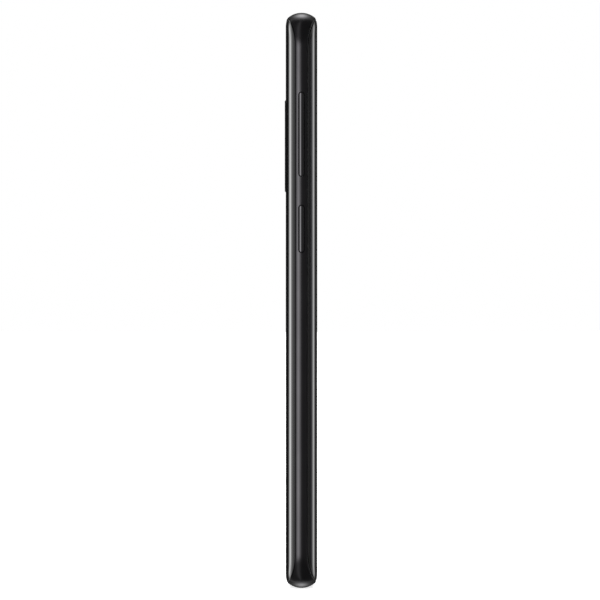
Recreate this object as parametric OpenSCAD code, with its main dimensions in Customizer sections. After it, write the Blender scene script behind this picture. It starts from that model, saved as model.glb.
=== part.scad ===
// Smartphone with curved front and back glass, taken down to the pieces a repair bench would lay out.
// X runs across the width with the volume keys at -X, Y through the thickness with the screen facing -Y,
// and Z up to the earpiece end.
// The bottom edge is at z = 0 and the body's middle plane is y = 0.

/* [Body] */
// Width over the aluminium frame, keys left out
body_w = 73.8; // [73.4:0.1:74.4]
// Height from the connector edge to the earpiece edge
body_h = 158.1; // [157.6:0.1:158.8]
// Thickness over the two glasses
body_t = 8.65; // [8.5:0.15:8.8]
// Corner radius of both glasses, seen from the front
glass_corner_r = 8; // [7:0.1:9]
// Thickness of the front and back glass
glass_t = 0.55; // [0.5:0.05:0.6]
// Width of the bent strip along each long side of a glass
bend_w = 8.5; // [8:0.1:9]
// Height above the middle plane at which the back glass meets the frame along the long sides
seam_back = 1.7; // [1.6:0.05:1.8]
// The same for the seam on the screen side
seam_front = 1.4; // [1.35:0.05:1.5]

/* [Keys] */
// Length of the volume rocker
volume_l = 22.9; // [20:0.1:23]
// Height of the volume rocker's middle above the bottom edge
volume_z = 124.45; // [124:0.1:125]
// Length of the function key below it
function_l = 12.8; // [11:0.1:13]
// Height of the function key's middle
function_z = 98.6; // [98:0.1:99]
// Length of the power key on the other side
power_l = 11.4; // [10:0.1:12]
// Height of the power key's middle
power_z = 112; // [111:0.1:113]
// Width of every key's cap
key_w = 1.3; // [1.2:0.05:1.35]
// How far a key stands out of the frame
key_proud = 0.42; // [0.3:0.02:0.5]

/* [Rear cameras] */
// Width of the camera island
island_w = 12; // [11.6:0.1:12.4]
// Length of the camera island
island_h = 25; // [24.8:0.1:25.2]
// Height of the island's middle above the bottom edge
island_z = 121.9; // [121.8:0.1:122]
// How far the island stands out of the back glass
island_proud = 0.33; // [0.25:0.01:0.4]

/* [Connectors] */
// Radius of the headphone jack's bore, for a 3.5 mm plug
jack_r = 1.8; // [1.78:0.01:1.85]
// Depth of that bore
jack_depth = 14.2; // [14:0.1:14.6]
// Distance of the jack's axis from the middle
jack_x = -14.5; // [-15:0.1:-14.5]
// Opening of the USB-C receptacle, across
usb_w = 8.34; // [8.3:0.01:8.4]
// Opening of the USB-C receptacle, through the thickness
usb_t = 2.56; // [2.5:0.01:2.6]

/* [Hidden] */
$fn = 48;

half_t = body_t / 2;
// The frame bulges past the glass outline by a fixed share of its own visible half height
bulge = 0.39;
// The frame stops this far short of the glass's face at the top and bottom ends
end_step = 0.4;
end_half = half_t - end_step;
side_sag = bulge * (seam_back + seam_front) / 2;
end_sag = bulge * end_half;
// Where a glass covers the frame, the frame's blank is kept this far under the glass's own surface
tuck = 0.04;
end_arc_r = (end_half^2 + end_sag^2) / (2 * end_sag);
// Outline of the glasses, inside the frame's bulge
glass_w = body_w - 2 * side_sag;
glass_h = body_h - 2 * end_sag;
flat_half = glass_w / 2 - bend_w;
// Layers under a glass, as distances below its outer face
adhesive_t = 0.1;
display_t = 0.7;
copper_t = 0.12;
ledge_at = glass_t + adhesive_t;
panel_back = glass_t + display_t;
rim_clear = 0.02;
pocket_at = panel_back + 0.2;
rim_w = 0.45;
edge_chamfer_w = 1.8;
edge_chamfer_t = end_step - 0.05;
glass_gap = 0.06;
// Inside of the frame
wall = 2;
end_wall = 3.2;
mouth_end = 5;
cavity_half = body_w / 2 - wall;
cavity_top = body_h - end_wall;
deep_half = 27.5;
deep_floor = -2.35;
side_floor = -1.3;
display_half = 32;
display_z0 = 7;
display_z1 = 150;
// Keys
key_gap = 0.1;
key_crown_r = 0.95;
crest = body_w / 2 + key_proud;
flange_x = cavity_half - 0.1;
flange_t = 0.5;
nub_h = 0.25;
dome_h = 0.3;
dome_r = 1.2;
switch_base_t = 0.5;
volume_nub = 8;
flange_half_t = 0.95;
rocker_flange = 8;
slide_flange_extra = 1.6;
nub_w = 0.8;
nub_l = 1;
dome_x = flange_x - flange_t - nub_h - 0.02;
rocker_switch_l = 2 * volume_nub + 5;
slide_switch_l = 6;
// Sockets, cards and the row of parts above the display
sensor_z = 152.4;
slot_z = 153.5;
tray_x = -16;
tray_w = 14;
tray_t = 0.7;
tray_z = 127.2;
door_w = 15.2;
door_t = 1.7;
door_z = body_h - 2.1;
board_y = -1.25;
board_t = 0.7;
board_half = 28.5;
board_z0 = 107;
board_z1 = 150;
bracket_y = 1.75;
bracket_t = 0.5;
post_x = 30.4;
post_r = 1.7;
upper_posts = [for (s = [-1, 1]) for (z = [141, 108.5]) [s * post_x, z]];
lower_posts = [for (s = [-1, 1]) for (z = [22, 12.5]) [s * post_x, z]];
wide_z = 129.1;
tele_z = 120.4;
wide_r = 2.9;
tele_r = 2.4;
wide_case = 8.6;
tele_case = 8.4;
case_y = [-2.3, 3.1];
barrel_y = [-0.5, 3.6];
barrel_rim = 0.62;
window_w = island_w - 2.6;
window_h = 16.4;
window_z = island_z + 3.1;
pad_h = 4.6;
pad_z = island_z - 8.8;
window_play = 0.1;
island_foot = 1.6;
flash_x = -9.6;
flash_z = 126;
flash_w = 3.8;
flash_h = 9.2;
emitter = 2.6;
front_camera_x = 19;
iris_camera_x = 26;
light_sensor_x = -19;
sensor_hole_r = 2.2;
light_hole_r = 1.4;
slot_w = 13.2;
slot_t = 1.2;
break_x = 25;
break_w = 1.2;
break_depth = 1.8;
speaker_x = [for (i = [0:5]) 13 + 2 * i];
mic_r = 0.5;
bottom_mic_x = 7.4;
top_mic_x = 12;
sub_top = -1.6;
flex_x = [-9.4, -6.6];
flex_t = 0.14;
battery_x = [-27, 21];
battery_z = [25, 104];
battery_y = [-2.3, 2.4];
coil_z = 74;
coil_x = -3;
coil_r = 21;
coil_turns = 7;
coil_pitch = 1.6;
coil_wire_w = 1.1;
coil_wire_t = 0.25;
metal = "#4a4a4d";
ink = "#101012";
flex_copper = "#b5812e";
board_green = "#1f5c3d";
jack_mouth = 0.6;
jack_collar_r = 2.5;
jack_body_half = 3.1;
jack_body_y = 2.3;
usb_wall = 0.3;
usb_z = [0.4, 7.4];
usb_back = 0.5;
seal_z = [1.6, 2.4];
sound_hole_r = 0.65;
speaker_mid = 18.9;

// ---- shared shapes ----

module rounded(w, h, r) {
    square([w - 2 * r, h], center = true);
    square([w, h - 2 * r], center = true);
    for (sx = [-1, 1]) for (sy = [-1, 1])
        translate([sx * (w / 2 - r), sy * (h / 2 - r)]) circle(r);
}

// A plate in the XZ plane from y0 to y1, with its middle at (x, z)
module plate(w, h, r, y0, y1, x = 0, z = body_h / 2) {
    translate([x, y1, z]) rotate([90, 0, 0]) linear_extrude(y1 - y0) rounded(w, h, r);
}

module block(x, y, z) {
    translate([x[0], y[0], z[0]]) cube([x[1] - x[0], y[1] - y[0], z[1] - z[0]]);
}

// A round hole or pin along Y, X or Z
module along_y(r, y0, y1, x, z) { translate([x, y1, z]) rotate([90, 0, 0]) cylinder(r = r, h = y1 - y0); }
module along_z(r, z0, z1, x, y = 0) { translate([x, y, z0]) cylinder(r = r, h = z1 - z0); }

// A stadium pushed along Z, as wide as w in X and t in Y
module stadium_z(w, t, z0, z1, x) {
    translate([x, 0, z0]) linear_extrude(z1 - z0) {
        square([w - t, t], center = true);
        for (s = [-1, 1]) translate([s * (w - t) / 2, 0]) circle(t / 2);
    }
}

// A stadium pushed along X, as long as l in Z and t in Y
module stadium_x(l, t, x0, x1, z) {
    translate([x0, 0, z]) rotate([90, 0, 90]) linear_extrude(x1 - x0) {
        square([t, l - t], center = true);
        for (s = [-1, 1]) translate([0, s * (l - t) / 2]) circle(t / 2);
    }
}

// Radius of a glass's bend: it leaves the flat at flat_half and comes down to the seam at the outline
function bend_drop(side) = half_t - (side > 0 ? seam_back : seam_front);
function bend_r(side) = (bend_w^2 + bend_drop(side)^2) / (2 * bend_drop(side));

// Half section of the phone, from the middle plane out to a surface "depth" under the glass's outer face
module bent_area(depth, side) {
    face = half_t - depth;
    r = bend_r(side) - depth;
    translate([-flat_half, 0]) square([2 * flat_half, face]);
    for (s = [-1, 1]) intersection() {
        translate([s * flat_half, half_t - bend_r(side)]) circle(r, $fn = 180);
        translate([s > 0 ? flat_half : -glass_w / 2, 0]) square([bend_w, face + 1]);
    }
}

// Side 1 is the back and -1 the screen side
module bent_solid(depth, side) {
    mirror([0, side < 0 ? 1 : 0, 0]) linear_extrude(body_h) bent_area(depth, side);
}

module bent_layer(outer, inner, side) {
    mirror([0, side < 0 ? 1 : 0, 0]) linear_extrude(body_h) difference() {
        bent_area(outer, side);
        bent_area(inner, side);
    }
}

module glass_plan(inset, y0 = -half_t - 1, y1 = half_t + 1) {
    plate(glass_w - 2 * inset, glass_h - 2 * inset, glass_corner_r - inset, y0, y1);
}

// The ground edge along the top and bottom of a glass
module edge_limits(side) {
    z0 = end_sag;
    z1 = body_h - end_sag;
    mirror([0, side < 0 ? 1 : 0, 0]) translate([-body_w, 0, 0]) rotate([90, 0, 90]) linear_extrude(2 * body_w)
        polygon([[-1, z0], [half_t - edge_chamfer_t, z0], [half_t, z0 + edge_chamfer_w],
                 [half_t, z1 - edge_chamfer_w], [half_t - edge_chamfer_t, z1], [-1, z1]]);
}

// ---- frame ----

// Going round one corner of the glass outline: t is 0 at the long side and 90 at the end
function corner_x(t) = glass_w / 2 - glass_corner_r * (1 - cos(t));
function corner_z(t) = glass_h / 2 - glass_corner_r * (1 - sin(t));
// Height of the glass's bent surface over a point x, and so the height of the seam there
function surface_at(x, side) = half_t - bend_r(side) + sqrt(bend_r(side)^2 - max(0, x - flat_half)^2);
function seam_at(t, side) = min(end_half, surface_at(corner_x(t), side));
// Half width of the bent surface at a height y, and how far the frame stands past the outline there
function bent_half_w(y, side) = flat_half + sqrt(max(0, bend_r(side)^2 - (bend_r(side) - half_t + y)^2));
function bulge_at(t, y, side) = let(h = seam_at(t, side), sag = bulge * (seam_at(t, 1) + seam_at(t, -1)) / 2,
    r = (h^2 + sag^2) / (2 * sag)) y >= h ? -tuck : sqrt(r^2 - y^2) - r + sag;
function level_corner(y, side) = [for (t = [0:6:90]) let(d = bulge_at(t, y, side))
    [min(corner_x(t) + d * cos(t), y >= seam_at(0, side) ? bent_half_w(y, side) - tuck : body_w),
     corner_z(t) + d * sin(t)]];

// Outer form of the frame: level outlines through the thickness, blended into one convex body
module envelope() {
    levels = [0, 0.4, 0.8, 1.1, 1.4, 1.7, 2.2, 2.7, 3.2, end_half];
    hull() for (side = [-1, 1]) for (y = levels) for (sx = [-1, 1]) for (sz = [-1, 1])
        translate([0, side * y + 0.005, body_h / 2]) rotate([90, 0, 0]) linear_extrude(0.01)
            polygon([for (p = level_corner(y, side)) [sx * p[0], sz * p[1]]]);
}

// What the two glasses and their adhesive take out of the frame
module glass_pockets() difference() {
    glass_plan(0);
    bent_solid(ledge_at, 1);
    bent_solid(ledge_at, -1);
}

module break_blocks() {
    for (s = [-1, 1]) for (z = [[-1, break_depth], [body_h - break_depth, body_h + 1]])
        block([s * break_x - break_w / 2, s * break_x + break_w / 2], [-half_t, half_t], z);
}

module key_slot(l, z, s) {
    x0 = cavity_half - 1;
    mirror([s < 0 ? 1 : 0, 0, 0]) stadium_x(l + 2 * key_gap, key_w + 2 * key_gap, x0, body_w / 2 + 1, z);
}

module frame_openings() {
    key_slot(volume_l, volume_z, -1);
    key_slot(function_l, function_z, -1);
    key_slot(power_l, power_z, 1);
    stadium_z(usb_w + 0.8, usb_t + 0.8, -1, mouth_end, 0);
    along_z(jack_collar_r + 0.1, -1, mouth_end, jack_x);
    along_z(mic_r, -1, mouth_end, bottom_mic_x);
    for (x = speaker_x) along_z(sound_hole_r, -1, mouth_end, x);
    along_z(mic_r, cavity_top - 1, body_h + 1, top_mic_x);
    stadium_z(door_w + 0.2, door_t + 0.2, door_z - 0.15, body_h + 1, tray_x);
    translate([tray_x, 0, 0]) block([-tray_w / 2 - 0.15, tray_w / 2 + 0.15],
        [-tray_t / 2 - 0.12, tray_t / 2 + 0.12], [cavity_top - 1, door_z]);
}

module front_windows() {
    block([-7, 7], [-half_t, side_floor], [slot_z - 1.5, slot_z + 1.2]);
    along_y(sensor_hole_r, -half_t, side_floor, front_camera_x, sensor_z);
    along_y(sensor_hole_r, -half_t, side_floor, iris_camera_x, sensor_z);
    along_y(light_hole_r, -half_t, side_floor, light_sensor_x, sensor_z);
    block([flex_x[0] - 0.3, flex_x[1] + 0.3], [-half_t, side_floor], [15, 18]);
}

module frame() color(metal) {
    difference() {
        envelope();
        glass_pockets();
        difference() {
            plate(2 * display_half + 0.4, display_z1 - display_z0 + 0.4, 3.2, -half_t - 1, side_floor - 0.3,
                z = (display_z0 + display_z1) / 2);
            bent_solid(pocket_at, -1);
        }
        plate(2 * cavity_half, cavity_top - end_wall, 5, side_floor, half_t + 1);
        block([-deep_half, deep_half], [deep_floor, 0], [end_wall + 1.3, cavity_top - 0.01]);
        frame_openings();
        front_windows();
        break_blocks();
    }
    for (p = concat(upper_posts, lower_posts)) difference() {
        along_y(post_r, side_floor - 0.1, bracket_y, p[0], p[1]);
        along_y(0.55, side_floor + 0.2, bracket_y + 1, p[0], p[1]);
    }
}

module antenna_breaks() color("#2b2b2e") difference() {
    intersection() {
        envelope();
        break_blocks();
    }
    glass_pockets();
}

// ---- glasses and display ----

module front_glass() color(ink) difference() {
    intersection() {
        bent_layer(0, glass_t, -1);
        glass_plan(rim_w);
        edge_limits(-1);
    }
    plate(slot_w, slot_t, slot_t / 2 - 0.01, -half_t - 1, 0, 0, slot_z);
}

module display_rim() color("#232326") difference() {
    intersection() {
        bent_layer(0.05, glass_t, -1);
        glass_plan(0);
        edge_limits(-1);
    }
    glass_plan(rim_w - rim_clear);
}

module adhesive(side) difference() {
    intersection() {
        bent_layer(glass_t, ledge_at, side);
        glass_plan(rim_w + 0.1);
    }
    plate(2 * cavity_half + 0.4, body_h - 2 * end_wall - 0.4, 4, -half_t - 1, half_t + 1);
}

module front_adhesive() color("#1c1c1f") adhesive(-1);
module back_adhesive() color("#1c1c1f") adhesive(1);

module display_panel() color("#0a0a0c") intersection() {
    bent_layer(glass_t, panel_back, -1);
    plate(2 * display_half, display_z1 - display_z0, 3, -half_t - 1, 0, z = (display_z0 + display_z1) / 2);
}

module heat_spreader() color("#b87d4b")
    plate(54, 112, 2, -half_t + panel_back, -half_t + panel_back + copper_t, z = 90);

module back_glass() color(ink) difference() {
    intersection() {
        bent_layer(0, glass_t, 1);
        glass_plan(glass_gap);
        edge_limits(1);
    }
    plate(island_w - island_foot + 0.2, island_h - island_foot + 0.2, 2.3, 0, half_t + 1, z = island_z);
    plate(flash_w, flash_h, flash_w / 2 - 0.01, 0, half_t + 1, flash_x, flash_z);
}

// ---- rear cameras ----

module window_holes() {
    plate(window_w, window_h, 2, 0, half_t + 1, z = window_z);
    plate(window_w, pad_h, 1.6, 0, half_t + 1, z = pad_z);
}

module camera_bezel() color("#3a3a3d") difference() {
    union() {
        plate(island_w, island_h, 3, half_t, half_t + island_proud, z = island_z);
        plate(island_w - island_foot, island_h - island_foot, 2.2, half_t - glass_t - 0.35, half_t,
            z = island_z);
    }
    window_holes();
}

module camera_window() color("#060608")
    plate(window_w - window_play, window_h - window_play, 1.95, half_t - 0.35, half_t + island_proud - 0.08,
        z = window_z);

module fingerprint_sensor() color("#0d0d0f") {
    plate(window_w - window_play, pad_h - window_play, 1.55, half_t - 0.7, half_t + island_proud - 0.12,
        z = pad_z);
    plate(window_w - 1, pad_h - 1, 1, half_t - 1.5, half_t - 0.7, z = pad_z);
}

module camera_case(size, r, z) difference() {
    block([-size / 2, size / 2], case_y, [z - size / 2, z + size / 2]);
    along_y(r + 0.15, case_y[0] + 1.6, half_t, 0, z);
}

module lens_barrel(r, z) {
    difference() {
        along_y(r, barrel_y[0], barrel_y[1], 0, z);
        along_y(r * barrel_rim, barrel_y[1] - 0.5, half_t, 0, z);
    }
    along_y(r * barrel_rim, barrel_y[1] - 0.52, barrel_y[1] - 0.25, 0, z);
}

module wide_camera() color("#2e2f33") camera_case(wide_case, wide_r, wide_z);
module tele_camera() color("#2e2f33") camera_case(tele_case, tele_r, tele_z);
module wide_lens() color("#111114") lens_barrel(wide_r, wide_z);
module tele_lens() color("#111114") lens_barrel(tele_r, tele_z);

module flash_window() color("#17171a")
    plate(flash_w - 0.1, flash_h - 0.1, flash_w / 2 - 0.06, half_t - 0.4, half_t - 0.02, flash_x, flash_z);

module flash_module() color("#e8e2b0") {
    for (z = [[1.2, 3.8], [-3.8, -0.2]])
        block([flash_x - emitter / 2, flash_x + emitter / 2], [2.9, half_t - 0.45],
            [flash_z + z[0], flash_z + z[1]]);
    block([flash_x - 1.6, flash_x + 1.6], [2.6, 2.9], [flash_z - 4.2, flash_z + 4.2]);
}

// ---- keys ----

// A cap whose outer face is crowned across its width, on a stem with a flange that keeps it in the frame
module key(l, z, flange, nubs) {
    intersection() {
        stadium_x(l, key_w, flange_x - flange_t, crest, z);
        union() {
            translate([crest - key_crown_r, 0, z - l]) cylinder(r = key_crown_r, h = 2 * l);
            translate([0, -key_w, z - l]) cube([crest - key_crown_r, 2 * key_w, 2 * l]);
        }
    }
    block([flange_x - flange_t, flange_x], [-flange_half_t, flange_half_t], [z - flange / 2, z + flange / 2]);
    for (n = nubs) block([flange_x - flange_t - nub_h, flange_x - flange_t + 0.1], [-nub_w / 2, nub_w / 2],
        [z + n - nub_l / 2, z + n + nub_l / 2]);
}

module volume_rocker() color(metal) mirror([1, 0, 0])
    key(volume_l, volume_z, rocker_flange, [-volume_nub, volume_nub]);
module function_key() color(metal) mirror([1, 0, 0])
    key(function_l, function_z, function_l + slide_flange_extra, [0]);
module power_key() color(metal) key(power_l, power_z, power_l + slide_flange_extra, [0]);

module dome(z) translate([dome_x - dome_h, 0, z]) rotate([0, 90, 0])
    cylinder(r1 = dome_r, r2 = dome_r * 0.45, h = dome_h);

module switch_base(z, l) {
    x1 = dome_x - dome_h;
    block([x1 - switch_base_t, x1], [side_floor + 0.02, 1.5], [z - l / 2, z + l / 2]);
}

module volume_domes() color("#c9c9cc") mirror([1, 0, 0]) for (s = [-1, 1]) dome(volume_z + s * volume_nub);
module function_dome() color("#c9c9cc") mirror([1, 0, 0]) dome(function_z);
module power_dome() color("#c9c9cc") dome(power_z);

module key_switches() color(flex_copper) {
    mirror([1, 0, 0]) switch_base(volume_z, rocker_switch_l);
    mirror([1, 0, 0]) switch_base(function_z, slide_switch_l);
    switch_base(power_z, slide_switch_l);
}

// ---- card tray ----

module sim_tray() color(metal) {
    difference() {
        intersection() {
            stadium_z(door_w, door_t, door_z, body_h + 1, tray_x);
            translate([-body_w, 0, body_h - end_arc_r]) rotate([0, 90, 0])
                cylinder(r = end_arc_r, h = 2 * body_w);
        }
        along_z(0.4, door_z - 1, body_h + 1, tray_x + door_w / 2 - 1.5);
    }
    difference() {
        block([tray_x - tray_w / 2, tray_x + tray_w / 2], [-tray_t / 2, tray_t / 2], [tray_z, door_z]);
        block([tray_x - 5.5, tray_x + 5.5], [-1, 1], [tray_z + 0.9, tray_z + 15.7]);
        block([tray_x - 6.15, tray_x + 6.15], [-1, 1], [tray_z + 16.6, tray_z + 25.4]);
        along_z(0.45, door_z - 1.5, door_z + 1, tray_x + door_w / 2 - 1.5);
    }
}

module tray_seal() color("#8a2f2a") difference() {
    stadium_z(door_w - 0.3, door_t - 0.06, door_z - 0.13, door_z, tray_x);
    block([tray_x - tray_w / 2 - 0.05, tray_x + tray_w / 2 + 0.05], [-tray_t / 2 - 0.05, tray_t / 2 + 0.05],
        [door_z - 1, door_z + 1]);
}

module card_socket() color("#9da0a6") difference() {
    block([tray_x - 8, tray_x + 8], [board_y + board_t, 0.85], [tray_z - 1.2, board_z1]);
    block([tray_x - 7.2, tray_x + 7.2], [board_y, 0.5], [tray_z - 0.2, board_z1 + 1]);
}

// ---- boards ----

module main_board() color(board_green) difference() {
    union() {
        block([-board_half, board_half], [board_y, board_y + board_t], [board_z0, board_z1]);
        block([22.5, 29], [board_y, board_y + board_t], [60, board_z0 + 0.5]);
    }
    block([-5.2, 5.2], [-3, 1], [island_z - 12.4, island_z + 12.4]);
    block([-8, 8], [-3, 1], [145.6, 160]);
    block([14, 30], [-3, 1], [147.4, 160]);
    along_y(light_hole_r + 0.5, -3, 1, light_sensor_x, sensor_z);
}

module shield_cans() color("#b9bcc2") {
    cans = [[-27.5, -10, 108, 125.5], [7, 28, 108, 126], [7, 28, 127, 146.5], [23, 28.6, 62, 106]];
    for (c = cans) difference() {
        block([c[0], c[1]], [board_y + board_t, 1.1], [c[2], c[3]]);
        block([c[0] + 0.2, c[1] - 0.2], [board_y + board_t - 1, 0.9], [c[2] + 0.2, c[3] - 0.2]);
    }
}

module processor() color("#1b1b1e") {
    block([10, 24], [board_y + board_t, 0.5], [110, 124]);
    block([10, 21.5], [board_y + board_t, 0.3], [130, 143]);
    block([-25, -13], [board_y + board_t, 0.2], [111, 122]);
}

module heat_pipe() color("#c07a45") {
    block([9, 20], [1.12, 1.5], [110.4, 124]);
    block([9, 22.3], [1.12, 1.5], [104.4, 110.5]);
    block([21.3, 22.3], [0.6, 1.5], [70, 104.5]);
}

module battery() color("#2a2a2e") difference() {
    plate(battery_x[1] - battery_x[0], battery_z[1] - battery_z[0], 2, battery_y[0], battery_y[1],
        (battery_x[0] + battery_x[1]) / 2, (battery_z[0] + battery_z[1]) / 2);
    block([battery_x[0] - 1, battery_x[1] + 1], [1.6, 3], [battery_z[1] - 3, battery_z[1] + 1]);
}

module coil_ferrite() color("#3c3f45")
    plate(45, 60, 4, battery_y[1] + 0.05, battery_y[1] + 0.2, coil_x, coil_z - 4);

module charging_coil() color("#b5713a") {
    y0 = battery_y[1] + 0.2;
    for (i = [0:coil_turns - 1]) difference() {
        along_y(coil_r - coil_pitch * i, y0, y0 + coil_wire_t, coil_x, coil_z);
        along_y(coil_r - coil_pitch * i - coil_wire_w, y0 - 1, y0 + 1, coil_x, coil_z);
    }
    difference() {
        plate(44.4, 59.4, 4, y0, y0 + 0.12, coil_x, coil_z - 4);
        plate(42.8, 57.8, 3.2, y0 - 1, y0 + 1, coil_x, coil_z - 4);
    }
}

module sub_board() color(board_green) difference() {
    block([-10.4, 9.6], [-2.2, sub_top], [4.6, 24.6]);
    block([flex_x[0] - 0.3, flex_x[1] + 0.3], [-3, 0], [15, 16.3]);
}

// ---- covers over the boards ----

module bracket(z0, z1, posts) difference() {
    plate(2 * post_x + 2.6, z1 - z0, 2, bracket_y, bracket_y + bracket_t, z = (z0 + z1) / 2);
    for (p = posts) along_y(0.7, 0, 4, p[0], p[1]);
}

module upper_bracket() color("#26262a") difference() {
    bracket(106.6, 146, upper_posts);
    block([-5.4, 5.4], [0, 4], [island_z - 12.6, island_z + 12.8]);
}

module lower_bracket() color("#26262a") difference() {
    bracket(4.6, 24.4, lower_posts);
    block([jack_x - jack_body_half - 0.3, jack_x + jack_body_half + 0.3], [0, 4],
        [0, jack_mouth + jack_depth + 1.6]);
}

module screws() color("#c4c4c8") for (p = concat(upper_posts, lower_posts)) difference() {
    union() {
        along_y(1.15, bracket_y + bracket_t, bracket_y + bracket_t + 0.4, p[0], p[1]);
        along_y(0.5, side_floor + 0.4, bracket_y + bracket_t, p[0], p[1]);
    }
    translate([p[0], bracket_y + bracket_t + 0.25, p[1]]) {
        cube([1.3, 0.4, 0.3], center = true);
        cube([0.3, 0.4, 1.3], center = true);
    }
}

// ---- sound ----

module speaker_box() color("#222226") difference() {
    union() {
        block([11.2, 26.6], [-2.3, 1.6], [4.6, 22.4]);
        block([11.8, 24.2], [-1.2, 1.2], [3.4, 4.7]);
    }
    block([11.9, 25.9], [-1.7, 1.1], [5.3, 21.7]);
    block([12.2, 23.8], [-0.8, 0.8], [3, 5.4]);
}

module loudspeaker() color("#8d8d93") {
    block([speaker_mid - 6.3, speaker_mid + 6.3], [-1.6, 0.2], [8, 21]);
    plate(9, 10, 2, 0.2, 0.6, speaker_mid, 14.5);
}

module speaker_mesh() color("#6a6a6f") block([11.8, 24.2], [-1.2, 1.2], [end_wall + 0.05, end_wall + 0.15]);

module microphones() color("#c8b27a") {
    block([bottom_mic_x - 1.3, bottom_mic_x + 1.3], [-1.6, 0.9], [4.8, 8.4]);
    block([top_mic_x - 1.6, top_mic_x + 1.6], [-0.7, 0.5], [150.4, 154.6]);
}

module earpiece() color("#9a9aa0") {
    block([-6.6, 6.6], [-2.2, 0.9], [146, 154.4]);
    block([-6, 6], [-3.4, -2.1], [slot_z - 1.3, slot_z + 0.9]);
}

module earpiece_mesh() color("#5c5c61") plate(13, 1, 0.49, -half_t + 0.08, -half_t + 0.4, 0, slot_z);

// ---- sensors above the display ----

module front_camera() color("#15151a") {
    block([front_camera_x - 2.5, front_camera_x + 2.5], [side_floor + 0.1, 0.9],
        [sensor_z - 2.5, sensor_z + 2.4]);
    along_y(sensor_hole_r - 0.2, -half_t + glass_t + 0.15, side_floor + 0.1, front_camera_x, sensor_z);
}

module iris_camera() color("#15151a") {
    block([iris_camera_x - 2.4, iris_camera_x + 2.4], [side_floor + 0.1, 0.9],
        [sensor_z - 2.4, sensor_z + 2.4]);
    along_y(sensor_hole_r - 0.3, -half_t + glass_t + 0.15, side_floor + 0.1, iris_camera_x, sensor_z);
}

module light_sensor() color("#3b2f45") along_y(light_hole_r - 0.2, -half_t + glass_t + 0.15, -0.9,
    light_sensor_x, sensor_z);

// ---- haptic motor ----

module haptic_case() color("#a8abb0") difference() {
    block([-26.8, -19.6], [-2.2, 1.2], [6, 21]);
    block([-26.3, -20.1], [-1.7, 0.7], [6.5, 20.5]);
}

module haptic_mass() color("#77797e") block([-26.1, -20.3], [-1.5, 0.5], [8.5, 18.5]);

// ---- connectors ----

module usb_shell() color("#a9abb0") difference() {
    stadium_z(usb_w + 2 * usb_wall, usb_t + 2 * usb_wall, usb_z[0], usb_z[1], 0);
    stadium_z(usb_w, usb_t, 0, usb_z[1] - usb_back, 0);
}

module usb_tongue() color("#19191b") {
    block([-3.3, 3.3], [-0.35, 0.35], [usb_z[0] + 0.8, usb_z[1] - usb_back]);
}

module usb_seal() color("#3b3b40") difference() {
    stadium_z(usb_w + 0.78, usb_t + 0.78, seal_z[0], seal_z[1], 0);
    stadium_z(usb_w + 2 * usb_wall, usb_t + 2 * usb_wall, seal_z[0] - 1, seal_z[1] + 1, 0);
}

module headphone_jack() color("#1d1d20") difference() {
    union() {
        along_z(jack_collar_r, jack_mouth, 4.7, jack_x);
        block([jack_x - jack_body_half, jack_x + jack_body_half], [-jack_body_y, jack_body_y],
            [4.7, jack_mouth + jack_depth + 1]);
    }
    along_z(jack_r, 0, jack_mouth + jack_depth, jack_x);
}

// ---- flexible circuits ----

module board_flex() color(flex_copper) {
    block([5, 24.5], [sub_top + 0.02, sub_top + 0.02 + flex_t], [22.6, 24.6]);
    block([22.5, 24.5], [sub_top + 0.02, sub_top + 0.02 + flex_t], [24.5, 64]);
    block([22.5, 24.5], [sub_top + 0.1, board_y - 0.01], [61, 64]);
}

module display_flex() color(flex_copper) {
    block(flex_x, [-half_t + panel_back, -half_t + panel_back + flex_t], [16, 30]);
    block(flex_x, [-half_t + panel_back, sub_top + 0.02 + flex_t], [16, 16 + flex_t]);
    block(flex_x, [sub_top + 0.02, sub_top + 0.02 + flex_t], [16, 20]);
}

module battery_flex() color(flex_copper) {
    block([12, 20], [1.62, 1.74], [battery_z[1] - 2.8, battery_z[1] + 1.2]);
}

// ---- which pieces are drawn ----

frame();
antenna_breaks();
front_glass();
display_rim();
front_adhesive();
display_panel();
heat_spreader();
back_glass();
back_adhesive();
camera_bezel();
camera_window();
fingerprint_sensor();
wide_camera();
wide_lens();
tele_camera();
tele_lens();
flash_window();
flash_module();
volume_rocker();
function_key();
power_key();
key_switches();
volume_domes();
function_dome();
power_dome();
sim_tray();
tray_seal();
card_socket();
main_board();
shield_cans();
processor();
heat_pipe();
battery();
charging_coil();
coil_ferrite();
upper_bracket();
lower_bracket();
speaker_box();
loudspeaker();
speaker_mesh();
sub_board();
usb_shell();
usb_tongue();
usb_seal();
headphone_jack();
microphones();
earpiece();
earpiece_mesh();
front_camera();
iris_camera();
light_sensor();
haptic_case();
haptic_mass();
board_flex();
display_flex();
battery_flex();
screws();
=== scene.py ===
# %% [markdown]
# # A smartphone, built piece by piece
# The phone stands on its short edge: Z runs up its length, the screen faces -Y and the volume keys are at -X.
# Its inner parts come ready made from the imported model. What follows builds the parts that the eye meets:
# two glasses bent along their long edges, the metal band between them, the keys, the cameras and the sockets.

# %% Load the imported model
import math

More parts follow.
